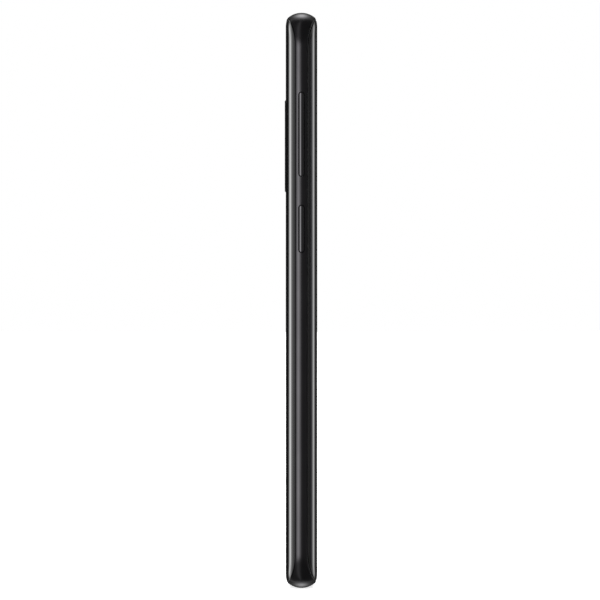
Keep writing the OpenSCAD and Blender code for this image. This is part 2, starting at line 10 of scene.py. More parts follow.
import bmesh
import bpy
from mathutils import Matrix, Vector


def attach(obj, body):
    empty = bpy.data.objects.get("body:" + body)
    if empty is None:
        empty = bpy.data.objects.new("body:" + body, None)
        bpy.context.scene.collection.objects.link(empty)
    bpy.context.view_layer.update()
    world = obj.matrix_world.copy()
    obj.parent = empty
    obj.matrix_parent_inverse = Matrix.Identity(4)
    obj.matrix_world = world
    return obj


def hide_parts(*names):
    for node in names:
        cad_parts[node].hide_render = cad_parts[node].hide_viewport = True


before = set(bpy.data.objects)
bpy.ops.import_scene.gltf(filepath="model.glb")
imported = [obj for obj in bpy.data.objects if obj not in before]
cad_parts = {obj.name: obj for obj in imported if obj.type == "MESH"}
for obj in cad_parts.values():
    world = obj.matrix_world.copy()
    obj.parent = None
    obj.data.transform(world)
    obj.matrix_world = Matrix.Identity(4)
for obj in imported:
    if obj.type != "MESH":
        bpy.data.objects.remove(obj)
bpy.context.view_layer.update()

# %% [markdown]
# ## The numbers that the outside shares
# A glass and the band meet in one curve, so both are made from the same few sizes, in millimetres.
# Each glass is flat in the middle and bends through an arc to its long sides. The corner is a squared-off
# curve, a superellipse, because a plain quarter circle makes a visible jump in the reflections where it
# leaves the straight side.

# %% Sizes of the body, in millimetres
BODY_W, BODY_H, BODY_T = 73.8, 158.1, 8.65
HALF_T = BODY_T / 2
SEAM_BACK, SEAM_FRONT = 1.7, 1.4
BULGE = 0.39
END_HALF = HALF_T - 0.4
SIDE_SAG = BULGE * (SEAM_BACK + SEAM_FRONT) / 2
END_SAG = BULGE * END_HALF
GLASS_HALF_W = BODY_W / 2 - SIDE_SAG
GLASS_HALF_H = BODY_H / 2 - END_SAG
BEND_W = 8.5
FLAT_HALF = GLASS_HALF_W - BEND_W
CORNER, CORNER_POWER = 8.4, 2.4
CORNER_STEPS = 28
LEAST_CORNER = 2.0
GLASS_T = 0.55
EASE_W, EASE_T = 2.4, HALF_T - END_HALF
MM = 0.001


def bend_radius(side):
    drop = HALF_T - (SEAM_BACK if side > 0 else SEAM_FRONT)
    return (BEND_W ** 2 + drop ** 2) / (2 * drop)


def bent_height(x, side, depth=0.0):
    """How far from the middle plane a glass's surface is over a point x, at a depth under its outer face."""
    radius = bend_radius(side)
    out = max(0.0, abs(x) - FLAT_HALF)
    inner = radius - depth
    return HALF_T - radius + math.sqrt(max(0.0, inner ** 2 - min(out, inner) ** 2))


def glass_outline(inset=0.0):
    """Points round a glass's edge, drawn in by inset: (x, z, normal x, normal z, how much it faces the end)."""
    reach = max(CORNER - inset, LEAST_CORNER)
    points = []
    for quarter in range(4):
        for step in range(CORNER_STEPS + 1):
            turn = math.pi / 2 * step / CORNER_STEPS
            if quarter % 2:
                turn = math.pi / 2 - turn
            c, s = math.cos(turn), math.sin(turn)
            u, v = c ** (2 / CORNER_POWER), s ** (2 / CORNER_POWER)
            nu, nv = u ** (CORNER_POWER - 1), v ** (CORNER_POWER - 1)
            length = math.hypot(nu, nv)
            sx = 1 if quarter in (0, 3) else -1
            sz = 1 if quarter in (0, 1) else -1
            points.append((sx * (GLASS_HALF_W - inset - reach * (1 - u)),
                           BODY_H / 2 + sz * (GLASS_HALF_H - inset - reach * (1 - v)),
                           sx * nu / length, sz * nv / length, (nv / length) ** 2))
    return points


def glass_height(x, end_facing, inset, side):
    """The bent surface, eased down by a little next to the two short ends."""
    ease = EASE_T * max(0.0, 1 - inset / EASE_W) ** 2 * end_facing
    return bent_height(x, side) - ease


print("bend radii, mm:", round(bend_radius(1), 2), round(bend_radius(-1), 2))

# %% [markdown]
# ## Tools for making meshes
# Every curved part here is a loft: rings of points joined one to the next. Blender's bmesh makes each ring with
# its circle operator and the ring is laid on the wanted curve. bridge_loops could fill between two rings, but it
# pairs the corners of a long thin ring wrongly, so the quads are laid corner by corner.
# Openings are cut with a boolean, because they cross the curved band at places that no ring follows.

# %% Lofting, cutting and placing
def lay_ring(bm, points):
    """The corners of a closed loop through the points, made from a circle of as many segments."""
    circle = bmesh.ops.create_circle(bm, cap_ends=False, radius=1.0, segments=len(points))["verts"]
    for vert, point in zip(circle, points):
        vert.co = Vector(point)
    return circle


def skin(bm, near, far):
    """Quads between two rings, corner by corner, so that long straight sides can not be paired wrongly."""
    for here, there in zip(range(-1, len(near) - 1), range(len(near))):
        bm.faces.new((near[here], near[there], far[there], far[here]))


def loft(name, rings, closed=False, capped=True):
    """A mesh object through rings of equal length; closed joins the last ring to the first."""
    bm = bmesh.new()
    loops = [lay_ring(bm, ring) for ring in rings]
    pairs = list(zip(loops, loops[1:])) + ([(loops[-1], loops[0])] if closed else [])
    for near, far in pairs:
        skin(bm, near, far)
    if capped and not closed:
        for loop in (loops[0], loops[-1]):
            bm.faces.new(loop)
    return finish_mesh(name, bm)


def finish_mesh(name, bm, sharp_degrees=28.0):
    """Turns millimetres into metres, sets normals and shading, and links the object."""
    bmesh.ops.remove_doubles(bm, verts=bm.verts, dist=1e-5)
    bmesh.ops.recalc_face_normals(bm, faces=bm.faces)
    if bm.calc_volume(signed=True) < 0:
        bmesh.ops.reverse_faces(bm, faces=bm.faces)
    bmesh.ops.scale(bm, vec=(MM, MM, MM), verts=bm.verts)
    mesh = bpy.data.meshes.new(name)
    shade(bm, sharp_degrees)
    bm.to_mesh(mesh)
    bm.free()
    piece = bpy.data.objects.new(name, mesh)
    bpy.context.scene.collection.objects.link(piece)
    return piece


def shade(bm, sharp_degrees):
    """Smooth faces, with the edges that turn more than sharp_degrees kept crisp."""
    for face in bm.faces:
        face.smooth = True
    limit = math.radians(sharp_degrees)
    for edge in bm.edges:
        edge.smooth = len(edge.link_faces) == 2 and edge.calc_face_angle(0.0) < limit


def cut_away(piece, cutters, sharp_degrees=28.0):
    """Takes the cutters' shapes out of a piece, one after the other, and removes them."""
    for cutter in cutters:
        step = piece.modifiers.new("cut", "BOOLEAN")
        step.operation, step.object, step.solver = "DIFFERENCE", cutter, "MANIFOLD"
    bpy.context.view_layer.update()
    made = bpy.data.meshes.new_from_object(piece.evaluated_get(bpy.context.evaluated_depsgraph_get()))
    piece.modifiers.clear()
    old, piece.data = piece.data, made
    bpy.data.meshes.remove(old)
    for cutter in cutters:
        bpy.data.objects.remove(cutter)
    bm = bmesh.new()
    bm.from_mesh(made)
    bmesh.ops.remove_doubles(bm, verts=bm.verts, dist=1e-7)
    shade(bm, sharp_degrees)
    bm.to_mesh(made)
    bm.free()
    made.name = piece.name
    return piece


def join_pieces(first, *others):
    """Several meshes as one object: a piece of several solids."""
    bm = bmesh.new()
    for piece in (first, *others):
        bm.from_mesh(piece.data)
    bm.to_mesh(first.data)
    bm.free()
    for piece in others:
        bpy.data.objects.remove(piece)
    return first


def mount(piece, body, material, *stands_for):
    """Gives a piece its material and its body, and hides the CAD nodes that it stands for."""
    piece.data.materials.clear()
    piece.data.materials.append(material)
    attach(piece, body)
    if stands_for:
        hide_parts(*stands_for)
    bm = bmesh.new()
    bm.from_mesh(piece.data)
    open_edges = sum(not edge.is_manifold for edge in bm.edges)
    volume = bm.calc_volume(signed=True) / MM ** 3
    print(f"{piece.name}: {len(bm.faces)} faces, {volume:.1f} mm3, {open_edges} open edges")
    bm.free()
    return piece


def stadium(length, width, steps=16):
    """A long round-ended outline, length along the first axis."""
    radius, half = width / 2, length / 2 - width / 2
    points = []
    for end in (1, -1):
        for step in range(steps + 1):
            turn = math.pi * step / steps - math.pi / 2
            points.append((end * (half + radius * math.cos(turn)), end * radius * math.sin(turn)))
    return points


def rounded(width, height, radius, steps=10):
    """A rectangle with round corners."""
    points = []
    for sx, sy, start in ((1, 1, 0), (-1, 1, 90), (-1, -1, 180), (1, -1, 270)):
        for step in range(steps + 1):
            turn = math.radians(start + 90 * step / steps)
            points.append((sx * (width / 2 - radius) + radius * math.cos(turn),
                           sy * (height / 2 - radius) + radius * math.sin(turn)))
    return points


def disc(radius, steps=48):
    turns = [math.tau * i / steps for i in range(steps)]
    return [(radius * math.cos(turn), radius * math.sin(turn)) for turn in turns]


def along_y(points, y, x=0.0, z=0.0):
    return [(x + u, y, z + v) for u, v in points]


def along_z(points, z, x=0.0, y=0.0):
    return [(x + u, y + v, z) for u, v in points]


def along_x(points, x, z=0.0):
    return [(x, v, z + u) for u, v in points]


def turned_y(name, profile, x, z, steps=48):
    """A round part about an axis along Y through (x, z): profile is a list of (radius, y)."""
    return loft(name, [along_y(disc(radius, steps), y, x, z) for radius, y in profile])


# %% [markdown]
# ## Tools for making materials
# Each finish is a Principled shader with its typical values on the shader's own sockets. Noise in Object
# coordinates then breaks up the roughness a little, because no handled surface is equally clean all over.

# %% One function for colour, one for nodes
def srgb(code):
    """A hex colour as the linear values that a shader wants."""
    parts = [int(code[i:i + 2], 16) / 255 for i in (1, 3, 5)]
    return tuple(p / 12.92 if p <= 0.04045 else ((p + 0.055) / 1.055) ** 2.4 for p in parts) + (1.0,)


def add_node(tree, kind, inputs=None, **settings):
    """Adds a node; inputs sets its sockets by name or number, and links those given as an output or a node."""
    node = tree.nodes.new(kind)
    for key, value in settings.items():
        setattr(node, key, value)
    for key, value in (inputs or {}).items():
        if isinstance(value, bpy.types.Node):
            value = value.outputs[0]
        if isinstance(value, bpy.types.NodeSocket):
            tree.links.new(value, node.inputs[key])
        else:
            node.inputs[key].default_value = value
    return node


def new_finish(name, **shader):
    """A material with one Principled shader whose sockets are set by name, such as base_color."""
    material = bpy.data.materials.new(name)
    material.use_nodes = True
    tree = material.node_tree
    tree.nodes.clear()
    sockets = {key.replace("_", " ").title().replace("Ior", "IOR"): value for key, value in shader.items()}
    principled = add_node(tree, "ShaderNodeBsdfPrincipled", sockets)
    add_node(tree, "ShaderNodeOutputMaterial", {"Surface": principled.outputs["BSDF"]})
    return material, tree, principled


def grain(tree, scale, low, high, detail=3.0, stretch=(1.0, 1.0, 1.0)):
    """Noise in Object coordinates, mapped to the range low to high. scale is in cycles per metre."""
    place = add_node(tree, "ShaderNodeTexCoord")
    turn = add_node(tree, "ShaderNodeMapping", {"Vector": place.outputs["Object"], "Scale": stretch})
    noise = add_node(tree, "ShaderNodeTexNoise", {"Vector": turn, "Scale": scale, "Detail": detail})
    span = add_node(tree, "ShaderNodeMapRange", {"Value": noise.outputs["Fac"], "From Min": 0.3,
                                                 "From Max": 0.7, "To Min": low, "To Max": high})
    return span.outputs["Result"]


def roughen(tree, principled, scale, height, detail=2.0, stretch=(1.0, 1.0, 1.0)):
    """A fine bump: height is the depth of the grain in metres."""
    bump = add_node(tree, "ShaderNodeBump", {"Height": grain(tree, scale, 0.0, 1.0, detail, stretch),
                                             "Strength": 1.0, "Distance": height})
    tree.links.new(bump.outputs["Normal"], principled.inputs["Normal"])


def tint(tree, principled, dark, light, scale, detail=3.0, stretch=(1.0, 1.0, 1.0)):
    """Two close colours mixed by noise, so that no face is one flat colour."""
    mix = add_node(tree, "ShaderNodeMix", {"Factor": grain(tree, scale, 0.0, 1.0, detail, stretch),
                                           "A": srgb(dark), "B": srgb(light)}, data_type="RGBA")
    tree.links.new(mix.outputs["Result"], principled.inputs["Base Color"])


# %% [markdown]
# ## Finishes
# The outside has three: black anodised aluminium that was polished first, glass with a black print behind it,
# and a satin plastic in the seams and the aerial breaks. The inside adds copper, tinned steel, solder mask,
# polyimide film and moulded nylon. Each is named for what it is and how it was made.

# %% Outer finishes
GLASS_INDEX = 1.52


def anodised_aluminium(name, dark="#3F3E40", light="#444345", rough=0.19):
    # Polished, then dyed black in the anodising bath: a dark mirror, slightly soft, with a trace of violet
    material, tree, metal = new_finish(name, metallic=1.0)
    tint(tree, metal, dark, light, scale=90.0)
    tree.links.new(grain(tree, 60.0, rough - 0.02, rough + 0.03), metal.inputs["Roughness"])
    return material


def printed_glass(name, dark="#050506", light="#09090A"):
    # Toughened glass over a black print: a deep black with a clear, sharp reflection and faint smears
    material, tree, glass = new_finish(name, ior=GLASS_INDEX)
    tint(tree, glass, dark, light, scale=25.0)
    tree.links.new(grain(tree, 35.0, 0.03, 0.075, detail=5.0), glass.inputs["Roughness"])
    return material


def moulded_plastic(name, dark, light, rough=0.45, **shader):
    # Injection moulded against a blasted tool: even and satin, with a very fine grain
    material, tree, plastic = new_finish(name, ior=1.49, **shader)
    tint(tree, plastic, dark, light, scale=150.0)
    tree.links.new(grain(tree, 200.0, rough - 0.05, rough + 0.05), plastic.inputs["Roughness"])
    roughen(tree, plastic, scale=5000.0, height=2e-6)
    return material


FRAME_METAL = anodised_aluminium("polished_black_anodised_aluminium")
KEY_METAL = anodised_aluminium("key_black_anodised_aluminium", "#4C4B4D", "#515052", rough=0.11)
BEZEL_METAL = anodised_aluminium("camera_ring_anodised_aluminium", "#2B2B2E", "#313134", rough=0.24)
GLASS_BACK = printed_glass("back_glass_black_print")
GLASS_CAMERA = printed_glass("camera_glass_black_print", "#040405", "#070708")
SEAM_PLASTIC = moulded_plastic("seam_moulded_nylon", "#0D0D0E", "#121213", rough=0.36, specular_ior_level=0.3)
BREAK_PLASTIC = moulded_plastic("antenna_break_moulded_resin", "#232326", "#29292C", rough=0.32)
print("outer finishes:", [material.name for material in bpy.data.materials])

# %% [markdown]
# The front glass has one thing more: with the screen off, the lit area is a slightly different black from
# the printed border. Its rounded outline is worked out from Object coordinates as a distance to a box.

# %% The front glass, with the sleeping screen behind it
SCREEN_HALF_W, SCREEN_HALF_H, SCREEN_MIDDLE, SCREEN_CORNER = 34.6, 72.0, 78.6, 4.5
SCREEN_BLUR = 0.1


def past_edge(tree, coordinate, centre, half):
    """How far a point lies past the screen's side, once that side is drawn in by the corner radius."""
    away = add_node(tree, "ShaderNodeMath", {0: coordinate, 1: centre * MM}, operation="SUBTRACT")
    size = add_node(tree, "ShaderNodeMath", {0: away}, operation="ABSOLUTE")
    over = add_node(tree, "ShaderNodeMath", {0: size, 1: (half - SCREEN_CORNER) * MM}, operation="SUBTRACT")
    return add_node(tree, "ShaderNodeMath", {0: over, 1: 0.0}, operation="MAXIMUM")


def sleeping_screen_glass(name):
    # Toughened glass: bluish black where the dark pixels lie, neutral black over the printed border
    material, tree, glass = new_finish(name, ior=GLASS_INDEX)
    place = add_node(tree, "ShaderNodeTexCoord")
    axes = add_node(tree, "ShaderNodeSeparateXYZ", {"Vector": place.outputs["Object"]})
    across = past_edge(tree, axes.outputs["X"], 0.0, SCREEN_HALF_W)
    along = past_edge(tree, axes.outputs["Z"], SCREEN_MIDDLE, SCREEN_HALF_H)
    corner = add_node(tree, "ShaderNodeCombineXYZ", {"X": across, "Y": along})
    reach = add_node(tree, "ShaderNodeVectorMath", {0: corner}, operation="LENGTH")
    outside = add_node(tree, "ShaderNodeMapRange", {"Value": reach.outputs["Value"],
                                                    "From Min": (SCREEN_CORNER - SCREEN_BLUR) * MM,
                                                    "From Max": (SCREEN_CORNER + SCREEN_BLUR) * MM})
    mix = add_node(tree, "ShaderNodeMix", {"Factor": outside, "A": srgb("#0B0B0F"), "B": srgb("#050505")},
                   data_type="RGBA")
    tree.links.new(mix.outputs["Result"], glass.inputs["Base Color"])
    tree.links.new(grain(tree, 35.0, 0.03, 0.07, detail=5.0), glass.inputs["Roughness"])
    return material


GLASS_FRONT = sleeping_screen_glass("front_glass_sleeping_screen")

# %% [markdown]
# ## The two glasses
# A glass is hot-bent from a flat sheet, so it keeps one thickness all over. It could be a grid bent with a
# modifier, but then its edge would follow the grid and not the round outline. Rings drawn in from the outline
# follow both the edge and the bend. The edge itself is cut square to the glass and only broken by a hair.

# %% Rings of a bent glass
BROKEN_EDGE = 0.05
GAP_BACK, GAP_FRONT = 0.13, 0.7
INSETS = [0.0, 0.12, 0.3, 0.55, 0.9, 1.3, 1.75, 2.2, 2.8, 3.4, 4.0, 4.7, 5.4, 6.1, 6.8, 7.5, 8.2, 8.75, 9.2]


def glass_ring(inset, side, depth=0.0):
    """A ring on a glass's outer face, or at a depth under it along the face's own normal."""
    points = []
    for x, z, _, _, e in glass_outline(inset):
        lean = math.asin(min(1.0, max(0.0, abs(x) - FLAT_HALF) / bend_radius(side)))
        points.append((x - math.copysign(depth * math.sin(lean), x),
                       side * (glass_height(x, e, inset, side) - depth * math.cos(lean)), z))
    return points


def bent_glass(name, side, gap):
    """A glass whose edge stays gap inside the frame's outline. Side 1 is the back."""
    under = [glass_ring(gap + inset, side, GLASS_T) for inset in reversed(INSETS[::3])]
    edge = [glass_ring(gap, side, BROKEN_EDGE), glass_ring(gap + 0.3 * BROKEN_EDGE, side, 0.3 * BROKEN_EDGE)]
    return loft(name, under + edge + [glass_ring(gap + BROKEN_EDGE + inset, side) for inset in INSETS])


back_glass = bent_glass("back_glass_panel", 1, GAP_BACK)
front_glass = bent_glass("front_glass_panel", -1, GAP_FRONT)

# %% [markdown]
# ## The metal band
# The band is milled from a bar and polished. Its section is an arc, short and tight along the sides and tall
# and flat across the ends, where the glasses stay level to the edge. So each ring takes its height from the
# seam at that place, and the arc bulges by the same share of it everywhere. The last rings turn inwards
# and make the ledges that the glasses are glued to, and the inner wall closes the ring.

# %% Rings of the band
BAND_STEPS = 34
LIP = {1: 0.13, -1: 0.12}
LEDGE_TOP, LEDGE_FOOT, WALL = 0.2, 0.65, 1.5


def band_ring(share):
    """One ring of the outer face; share runs from -1 at the front lip to 1 at the back lip."""
    side = 1 if share > 0 else -1
    points = []
    for x, z, nx, nz, e in glass_outline():
        seam = [glass_height(x, e, 0.0, s) for s in (-1, 1)]
        sag = BULGE * (seam[0] + seam[1]) / 2
        h = seam[(side + 1) // 2]
        y = abs(share) * (h - LIP[side])
        radius = (h ** 2 + sag ** 2) / (2 * sag)
        out = math.sqrt(radius ** 2 - y ** 2) - radius + sag
        points.append((x + nx * out, side * y, z + nz * out))
    return points


def ledge_ring(side, inset, under):
    """A ring inside the outline, under a glass by the given amount."""
    outline = glass_outline(inset)
    return [(x, side * (glass_height(x, e, inset, side) - under), z) for x, z, _, _, e in outline]


band_rings = [ledge_ring(-1, 0.0, LEDGE_FOOT), ledge_ring(-1, 0.0, LEDGE_TOP)]
band_rings += [band_ring(-1 + 2 * i / BAND_STEPS) for i in range(BAND_STEPS + 1)]
band_rings += [ledge_ring(1, 0.0, LEDGE_TOP), ledge_ring(1, 0.0, LEDGE_FOOT)]
for side in (1, -1):
    inner = [(x, side * bent_height(x, side, LEDGE_FOOT), z) for x, z, _, _, _ in glass_outline(WALL)]
    band_rings.append(inner)
frame_band = loft("frame_band", band_rings, closed=True)
print("band:", len(frame_band.data.vertices), "points")

# %% [markdown]
# ## Openings in the band
# Three key slots, the card tray's mouth, the two sockets, six sound holes and the microphone holes go right
# through the wall. Four narrow grooves across the ends are filled with plastic, so that the metal is split
# into aerials. Each cutter is a straight prism, taller than the wall, so that no face lies on another.

# %% Cutters
KEY_W, KEY_GAP, KEY_SIDE = 1.35, 0.2, 0.04
VOLUME_L, VOLUME_Z = 22.9, 124.45
FUNCTION_L, FUNCTION_Z = 12.8, 98.6
POWER_L, POWER_Z = 11.4, 112.0
TRAY_X, DOOR_W, DOOR_T = -16.0, 15.2, 1.7
JACK_X, JACK_R = -14.5, 2.6
USB_W, USB_T, USB_WALL = 8.34, 2.56, 0.4
SPEAKER_X, SPEAKER_R = [13.0 + 2.0 * i for i in range(6)], 0.65
LOWER_MIC_X, UPPER_MIC_X, MIC_R = 7.4, 12.0, 0.5
BREAK_X, BREAK_W, BREAK_DEPTH = 25.0, 1.2, 1.8
# Where the cutters begin and end: inside the phone, and clear of its outer faces
SLOT_FROM, SLOT_TO, CLEAR, WALL_FROM = 33.0, 39.0, 2.0, 6.0
DOOR_DEPTH, CARD_W, CARD_T = 2.25, 14.3, 0.94


def prism_x(points, x0, x1, z):
    return loft("cutter", [along_x(points, x0, z), along_x(points, x1, z)])


def prism_z(points, z0, z1, x, y=0.0):
    return loft("cutter", [along_z(points, z0, x, y), along_z(points, z1, x, y)])


def prism_y(points, y0, y1, x, z):
    return loft("cutter", [along_y(points, y0, x, z), along_y(points, y1, x, z)])


def key_outline(length, width):
    """The keys sit a little towards the back, in the middle of the band between its unequal seams."""
    return [(u, v + KEY_SIDE) for u, v in stadium(length, width)]


def key_slot(length, z, side):
    outline = key_outline(length + 2 * KEY_GAP, KEY_W + 2 * KEY_GAP)
    return prism_x(outline, side * SLOT_FROM, side * SLOT_TO, z)


def end_slab(x, z0, z1, half_y):
    corners = rounded(BREAK_W, 2 * half_y, 0.05, steps=1)
    return prism_z(corners, z0, z1, x)


def bottom_hole(points, x):
    return prism_z(points, -CLEAR, WALL_FROM, x)


wall_cutters = [key_slot(length, z, side) for length, z, side in
                ((VOLUME_L, VOLUME_Z, -1), (FUNCTION_L, FUNCTION_Z, -1), (POWER_L, POWER_Z, 1))]
wall_cutters += [bottom_hole(stadium(USB_W + 2 * USB_WALL, USB_T + 2 * USB_WALL), 0.0),
                 bottom_hole(disc(JACK_R), JACK_X), bottom_hole(disc(MIC_R, 24), LOWER_MIC_X),
                 prism_z(disc(MIC_R, 24), BODY_H - WALL_FROM, BODY_H + CLEAR, UPPER_MIC_X),
                 prism_z(stadium(DOOR_W + 0.2, DOOR_T + 0.2), BODY_H - DOOR_DEPTH, BODY_H + CLEAR, TRAY_X),
                 prism_z(rounded(CARD_W, CARD_T, 0.1, 2), BODY_H - WALL_FROM, BODY_H - CLEAR, TRAY_X)]
wall_cutters += [bottom_hole(disc(SPEAKER_R, 24), x) for x in SPEAKER_X]
for sx in (-1, 1):
    wall_cutters.append(end_slab(sx * BREAK_X, -CLEAR, BREAK_DEPTH, HALF_T + 0.5))
    wall_cutters.append(end_slab(sx * BREAK_X, BODY_H - BREAK_DEPTH, BODY_H + CLEAR, HALF_T + 0.5))
cut_away(frame_band, wall_cutters)
mount(frame_band, "phone", FRAME_METAL, "frame")

# %% [markdown]
# ## Aerial breaks
# The grooves are filled with resin and polished flush. The fillings are slices of the same band, kept a
# hundredth of a millimetre under the metal, so that their edges show as a hairline as the real ones do.

# %% Slices of the band
BREAK_STEPS, BREAK_CLEAR, BREAK_SIDE, BREAK_UNDER = 16, 0.02, 0.004, 0.01


def break_slice(x, top):
    reach = END_HALF - BREAK_CLEAR
    radius = (END_HALF ** 2 + END_SAG ** 2) / (2 * END_SAG)
    across = []
    for step in range(BREAK_STEPS + 1):
        y = (-1 + 2 * step / BREAK_STEPS) * reach
        across.append((y, radius - math.sqrt(radius ** 2 - y ** 2) - BREAK_UNDER))
    inner = BREAK_DEPTH - BREAK_CLEAR
    profile = across + [(reach, inner), (-reach, inner)]
    if top:
        profile = [(y, BODY_H - z) for y, z in profile]
    half = BREAK_W / 2 - BREAK_SIDE
    return loft("break", [[(x + s * half, y, z) for y, z in profile] for s in (-1, 1)])


slices = [break_slice(sx * BREAK_X, top) for sx in (-1, 1) for top in (False, True)]
breaks = join_pieces(*slices)
breaks.name = "antenna_break_fillings"
mount(breaks, "phone", BREAK_PLASTIC, "antenna_breaks")

# %% [markdown]
# ## The seam gasket
# Between the front glass and the metal runs a thin moulded strip. Seen from the side it is a soft rounded rib
# with a dark line on either hand. It is a loft too: a small rounded section carried round the outline.

# %% A rib round the front glass
def gasket_ring(inset, lift):
    return ledge_ring(-1, inset, -lift)


RIB_FROM, RIB_TO, RIB_STEPS, RIB_SHOULDER, RIB_CROWN = 0.16, 0.54, 8, -0.16, 0.12
STRIP_FROM, STRIP_TO, GROOVE, FOOT = 0.02, 0.68, 0.34, 0.56
rib = [gasket_ring(STRIP_FROM, -GROOVE), gasket_ring(RIB_FROM, -GROOVE)]
for step in range(RIB_STEPS + 1):
    turn = math.pi * step / RIB_STEPS
    inset = (RIB_FROM + RIB_TO) / 2 - (RIB_TO - RIB_FROM) / 2 * math.cos(turn)
    rib.append(gasket_ring(inset, RIB_SHOULDER + RIB_CROWN * math.sin(turn)))
rib += [gasket_ring(inset, -depth) for inset, depth in
        ((RIB_TO, GROOVE), (STRIP_TO, GROOVE), (STRIP_TO, FOOT), (STRIP_FROM, FOOT))]
gasket = loft("seam_gasket", rib, closed=True)
mount(gasket, "phone", SEAM_PLASTIC, "display_rim")

# %% [markdown]
# ## Keys
# A key is a long round-ended cap with a crowned face, turned from the same metal as the band. Its rings climb
# out of the slot, round the edge over and close on the crown, which is an arc across the key's width.

# %% Caps with a crown
KEY_PROUD, CROWN_R, KEY_EDGE, EDGE_STEPS = 0.42, 0.8, 0.12, 5
KEY_CREST = BODY_W / 2 + KEY_PROUD
CROWN_INSETS = (0.2, 0.3, 0.4, 0.5, 0.6)
# The flange stays behind the wall and keeps the key in; a nub is what presses on a dome
FLANGE_X, FLANGE_T, FLANGE_W, FLANGE_PAST = 34.8, 0.5, 1.9, 0.8
NUB_X, NUB = 0.62, (0.26, 0.8, 1.0)


def crowned(draw_in, lift, length, side, z):
    """A ring on the key's crown, drawn in from its outline and lifted by a little."""
    outline = key_outline(length - 2 * draw_in, KEY_W - 2 * draw_in)
    centre = KEY_CREST - CROWN_R + lift
    return [(side * (centre + math.sqrt(CROWN_R ** 2 - (v - KEY_SIDE) ** 2)), v, z + u) for u, v in outline]


def key_cap(name, length, z, side, flange, nubs):
    rings = [along_x(key_outline(length, KEY_W), side * (FLANGE_X - FLANGE_T), z)]
    for step in range(EDGE_STEPS + 1):
        turn = math.pi / 2 * step / EDGE_STEPS
        rings.append(crowned(KEY_EDGE * (1 - math.cos(turn)), KEY_EDGE * (math.sin(turn) - 1), length, side, z))
    rings += [crowned(draw_in, 0.0, length, side, z) for draw_in in CROWN_INSETS]
    parts = [block("flange", (side * (FLANGE_X - FLANGE_T / 2), 0, z), (FLANGE_T, FLANGE_W, flange))]
    parts += [block("nub", (side * (FLANGE_X - NUB_X), 0, z + n), NUB) for n in nubs]
    return join_pieces(loft(name, rings), *parts)


def block(name, centre, size, edge=0.03):
    """A box with small bevels."""
    bm = bmesh.new()
    bmesh.ops.create_cube(bm, size=1.0)
    bmesh.ops.scale(bm, vec=size, verts=bm.verts)
    bmesh.ops.bevel(bm, geom=bm.edges[:], offset=edge, affect="EDGES", segments=2, profile=0.5, material=-1)
    bmesh.ops.translate(bm, vec=centre, verts=bm.verts)
    return finish_mesh(name, bm)


volume_cap = key_cap("volume_key_cap", VOLUME_L, VOLUME_Z, -1, 8.0, (-8, 8))
function_cap = key_cap("function_key_cap", FUNCTION_L, FUNCTION_Z, -1, FUNCTION_L + 2 * FLANGE_PAST, (0,))
power_cap = key_cap("power_key_cap", POWER_L, POWER_Z, 1, POWER_L + 2 * FLANGE_PAST, (0,))
for cap, body in ((volume_cap, "volume_rocker"), (function_cap, "function_key"), (power_cap, "power_key")):
    mount(cap, body, KEY_METAL, body)

# %% [markdown]
# ## The camera island
# A frame of cut metal stands a third of a millimetre out of the back glass, with a bright bevel round it.
# Inside sit a glass over the two cameras and the fingerprint pad below them.

# %% Ring, glass and pad
ISLAND_W, ISLAND_H, ISLAND_Z, ISLAND_PROUD = 12.0, 25.6, 122.2, 0.33
CAMERA_Z, PAD_Z = 125.0, 113.1
WIDE_Z, TELE_Z = 129.1, 120.4
WINDOW_W, WINDOW_H, PAD_H = ISLAND_W - 2.7, 16.3, 4.5
FLASH_X, FLASH_Z, FLASH_L, FLASH_W = -9.6, 126.0, 9.2, 3.8
# Cutters through the back glass and the island run between these two heights
UNDER, OVER = 2.0, 6.0


def framed(name, width, height, radius, bottom, top, bevel, x=0.0, z=0.0):
    """A plate along Y with a bevelled outer edge."""
    rings = [along_y(rounded(width, height, radius), bottom, x, z),
             along_y(rounded(width, height, radius), top - bevel, x, z),
             along_y(rounded(width - 2 * bevel, height - 2 * bevel, radius - bevel), top, x, z)]
    return loft(name, rings)


island_top = HALF_T + ISLAND_PROUD
camera_ring = framed("camera_ring", ISLAND_W, ISLAND_H, 3.0, HALF_T - 0.3, island_top, 0.22, z=ISLAND_Z)
openings = [framed("cutter", WINDOW_W + 0.1, WINDOW_H + 0.1, 2.0, UNDER, OVER, 0.01, z=CAMERA_Z),
            framed("cutter", WINDOW_W + 0.1, PAD_H + 0.1, 1.6, UNDER, OVER, 0.01, z=PAD_Z)]
cut_away(camera_ring, openings)
mount(camera_ring, "phone", BEZEL_METAL, "camera_bezel")

camera_glass = framed("camera_glass", WINDOW_W, WINDOW_H, 1.95, HALF_T - 0.35, island_top - 0.08, 0.08,
                      z=CAMERA_Z)
cut_away(camera_glass, [prism_y(disc(radius, 64), UNDER, OVER, 0.0, z)
                        for radius, z in ((3.05, WIDE_Z), (2.55, TELE_Z))])
mount(camera_glass, "phone", GLASS_CAMERA, "camera_window")

HARD_COAT = moulded_plastic("finger_pad_hard_coat", "#0C0C0D", "#111113", rough=0.22)
finger_pad = framed("finger_pad", WINDOW_W, PAD_H, 1.55, HALF_T - 0.7, island_top - 0.12, 0.15, z=PAD_Z)
mount(finger_pad, "phone", HARD_COAT, "fingerprint_sensor")

# The back glass opens for the island and for the flash
flash_outline = [(v, u) for u, v in stadium(FLASH_L, FLASH_W)]
cut_away(back_glass, [prism_y(rounded(ISLAND_W - 1.4, ISLAND_H - 1.4, 2.3), UNDER, OVER, 0.0, ISLAND_Z),
                      prism_y(flash_outline, UNDER, OVER, FLASH_X, FLASH_Z)])
mount(back_glass, "phone", GLASS_BACK, "back_glass")

